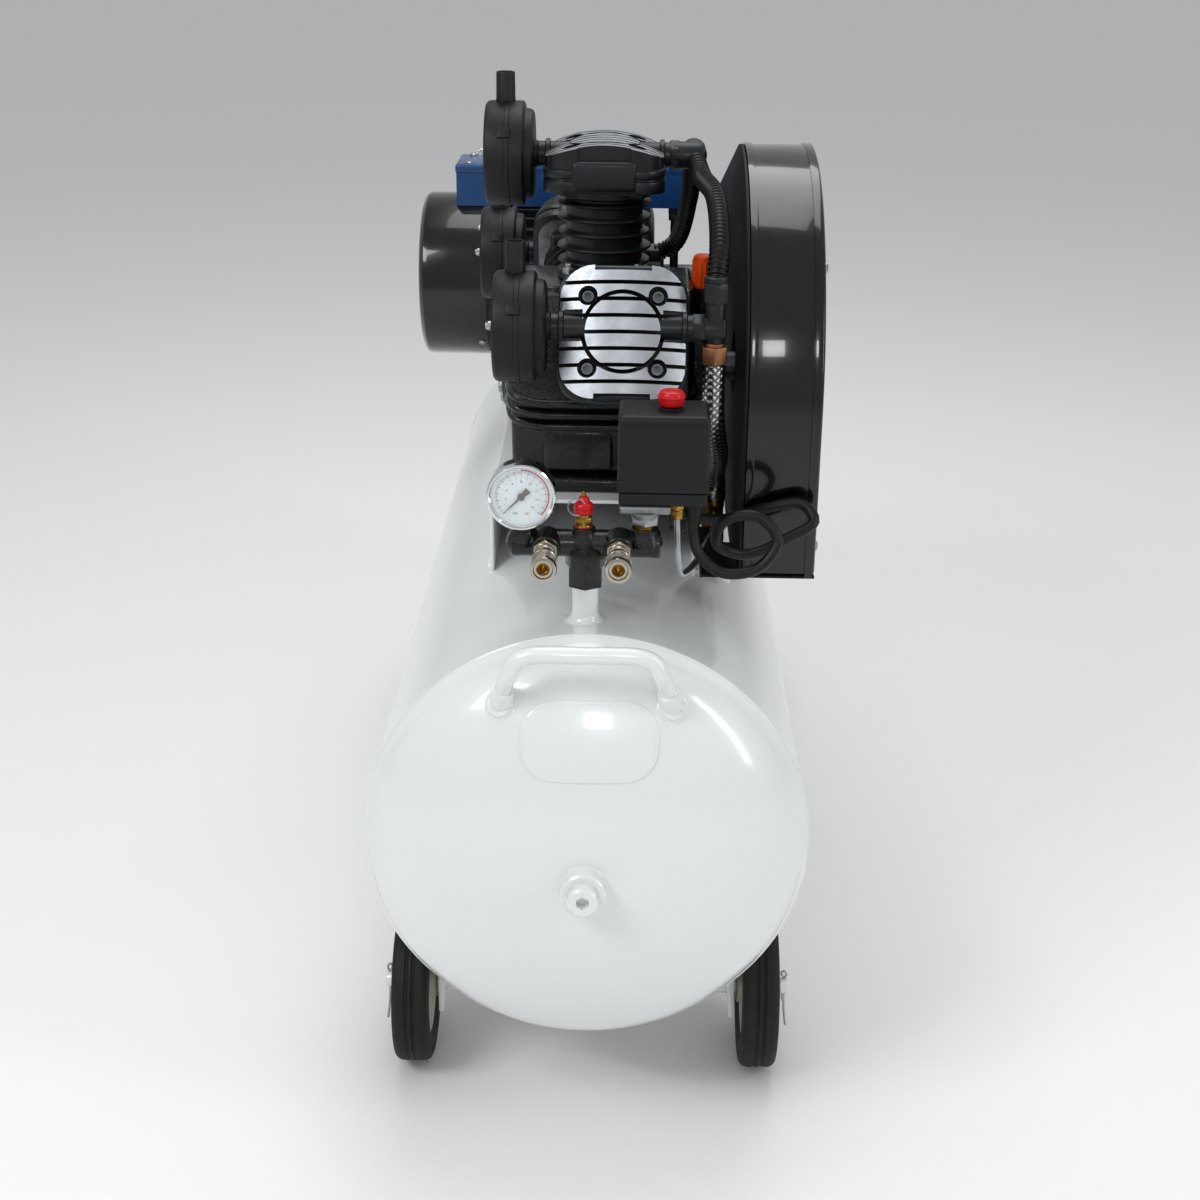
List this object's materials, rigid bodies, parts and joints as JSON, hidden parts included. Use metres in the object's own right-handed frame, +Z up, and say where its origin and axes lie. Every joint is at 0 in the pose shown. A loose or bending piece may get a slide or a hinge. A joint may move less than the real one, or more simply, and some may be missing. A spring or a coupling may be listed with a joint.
{
  "type": "air compressor",
  "caption": "Belt-driven piston air compressor: white horizontal tank on wheels, finned W-type pump, motor and belt guard on a platform, with pressure switch, gauge and outlets.",
  "frame": {"origin": "floor point under the middle of the bounding box", "axes": "+Z up, +Y along the tank from the outlet end to the far end, +X towards the belt guard"},
  "size_m": [0.423, 1.294, 0.9314],
  "materials": {
    "white_paint": "gloss",
    "black_paint": "gloss",
    "cast_black": "semi-gloss paint over casting",
    "cast_aluminium_black": "black painted casting",
    "blue_paint": "satin",
    "rubber": "matte",
    "tyre": "matte",
    "black_plastic": "matte",
    "red_plastic": "gloss",
    "orange_plastic": "gloss",
    "nickel": "polished",
    "brass": "satin",
    "steel": "machined",
    "iron": "machined",
    "aluminium": "satin"
  },
  "bodies": {
    "chassis": {"air_filter_front": "black_plastic", "air_filter_middle": "black_plastic", "air_filter_rear": "black_plastic", "axle_front": "white_paint", "axle_rear": "white_paint", "belt_guard_back": "black_paint", "belt_guard_cover": "black_paint", "capacitor_box": "blue_paint", "check_valve": "brass", "crankcase": "cast_black", "cylinder_front": "cast_black", "cylinder_head_front": "cast_aluminium_black", "cylinder_head_middle": "cast_aluminium_black", "cylinder_head_rear": "cast_aluminium_black", "cylinder_middle": "cast_black", "cylinder_rear": "cast_black", "delivery_pipe_front": "black_paint", "delivery_pipe_rear": "black_paint", "discharge_hose": "steel", "drive_belt": "rubber", "fan_cover": "black_paint", "gauge_case": "nickel", "lift_handle": "white_paint", "manifold": "cast_black", "motor_cable": "rubber", "motor_housing": "black_paint", "piston_front": "aluminium", "piston_middle": "aluminium", "piston_rear": "aluminium", "platform": "white_paint", "safety_valve_body": "brass", "switch_base": "cast_aluminium_black", "switch_cover": "black_plastic", "tank_head_front": "white_paint", "tank_head_rear": "white_paint", "tank_shell": "white_paint", "unloader_tube": "aluminium"},
    "crank": {"crankshaft": "iron", "flywheel": "cast_black"},
    "rod_front": {"connecting_rod_front": "aluminium"},
    "rod_middle": {"connecting_rod_middle": "aluminium"},
    "rod_rear": {"connecting_rod_rear": "aluminium"},
    "rotor": {"motor_rotor": "iron", "cooling_fan": "black_plastic", "motor_pulley": "cast_black"},
    "wheel_front_left": {"tyre_front_left": "tyre", "rim_front_left": "white_paint"},
    "wheel_front_right": {"tyre_front_right": "tyre", "rim_front_right": "white_paint"},
    "wheel_rear_left": {"tyre_rear_left": "tyre", "rim_rear_left": "white_paint"},
    "wheel_rear_right": {"tyre_rear_right": "tyre", "rim_rear_right": "white_paint"},
    "on_off_knob": {"switch_knob": "red_plastic"},
    "relief_ring": {"safety_valve_ring": "red_plastic"},
    "needle": {"gauge_needle": "black_paint"},
    "drain": {"drain_screw": "brass"},
    "sleeve_left": {"coupler_sleeve_left": "nickel"},
    "sleeve_right": {"coupler_sleeve_right": "nickel"},
    "oil_cap": {"oil_filler_cap": "orange_plastic"}
  },
  "joints": [
    {"name": "crank_spin", "type": "hinge", "parent": "chassis", "child": "crank", "pos_m": [0.0055, -0.207, 0.65078], "axis": [1, 0, 0], "continuous": true},
    {"name": "rotor_spin", "type": "hinge", "parent": "chassis", "child": "rotor", "pos_m": [0.0055, 0.233, 0.64579], "axis": [1, 0, 0], "continuous": true},
    {"name": "rod_front_swing", "type": "hinge", "parent": "crank", "child": "rod_front", "pos_m": [0.0315, -0.207, 0.67078], "axis": [1, 0, 0], "continuous": true},
    {"name": "rod_middle_swing", "type": "hinge", "parent": "crank", "child": "rod_middle", "pos_m": [0.0115, -0.207, 0.67078], "axis": [1, 0, 0], "continuous": true},
    {"name": "rod_rear_swing", "type": "hinge", "parent": "crank", "child": "rod_rear", "pos_m": [-0.0085, -0.207, 0.67078], "axis": [1, 0, 0], "continuous": true},
    {"name": "wheel_front_left_roll", "type": "hinge", "parent": "chassis", "child": "wheel_front_left", "pos_m": [-0.16315, -0.437, 0.07878], "axis": [1, 0, 0], "continuous": true},
    {"name": "wheel_front_right_roll", "type": "hinge", "parent": "chassis", "child": "wheel_front_right", "pos_m": [0.17415, -0.437, 0.07878], "axis": [1, 0, 0], "continuous": true},
    {"name": "wheel_rear_left_roll", "type": "hinge", "parent": "chassis", "child": "wheel_rear_left", "pos_m": [-0.16315, 0.463, 0.07878], "axis": [1, 0, 0], "continuous": true},
    {"name": "wheel_rear_right_roll", "type": "hinge", "parent": "chassis", "child": "wheel_rear_right", "pos_m": [0.17415, 0.463, 0.07878], "axis": [1, 0, 0], "continuous": true},
    {"name": "knob_pull", "type": "slide", "parent": "chassis", "child": "on_off_knob", "axis": [0, 0, 1], "range_m": [0, 0.005]},
    {"name": "relief_pull", "type": "slide", "parent": "chassis", "child": "relief_ring", "axis": [0, 0, 1], "range_m": [0, 0.004], "stiffness_N_per_m": 600},
    {"name": "needle_sweep", "type": "hinge", "parent": "chassis", "child": "needle", "pos_m": [-0.0525, -0.517, 0.61279], "axis": [0, 1, 0], "range_deg": [0, 270]},
    {"name": "drain_turn", "type": "hinge", "parent": "chassis", "child": "drain", "pos_m": [0.0055, 0.013, 0.07579], "axis": [0, 0, 1], "range_deg": [0, 360]},
    {"name": "sleeve_left_slide", "type": "slide", "parent": "chassis", "child": "sleeve_left", "axis": [0, 1, 0], "range_m": [0, 0.004], "stiffness_N_per_m": 800},
    {"name": "sleeve_right_slide", "type": "slide", "parent": "chassis", "child": "sleeve_right", "axis": [0, 1, 0], "range_m": [0, 0.004], "stiffness_N_per_m": 800},
    {"name": "oil_cap_lift", "type": "slide", "parent": "chassis", "child": "oil_cap", "axis": [0, 0, 1], "range_m": [0, 0.02]}
  ],
  "couplings": [
    {"joint": "rotor_spin", "follows": "crank_spin", "ratio": 3},
    {"joint": "rod_front_swing", "follows": "crank_spin", "ratio": -1},
    {"joint": "rod_middle_swing", "follows": "crank_spin", "ratio": -1},
    {"joint": "rod_rear_swing", "follows": "crank_spin", "ratio": -1}
  ]
}
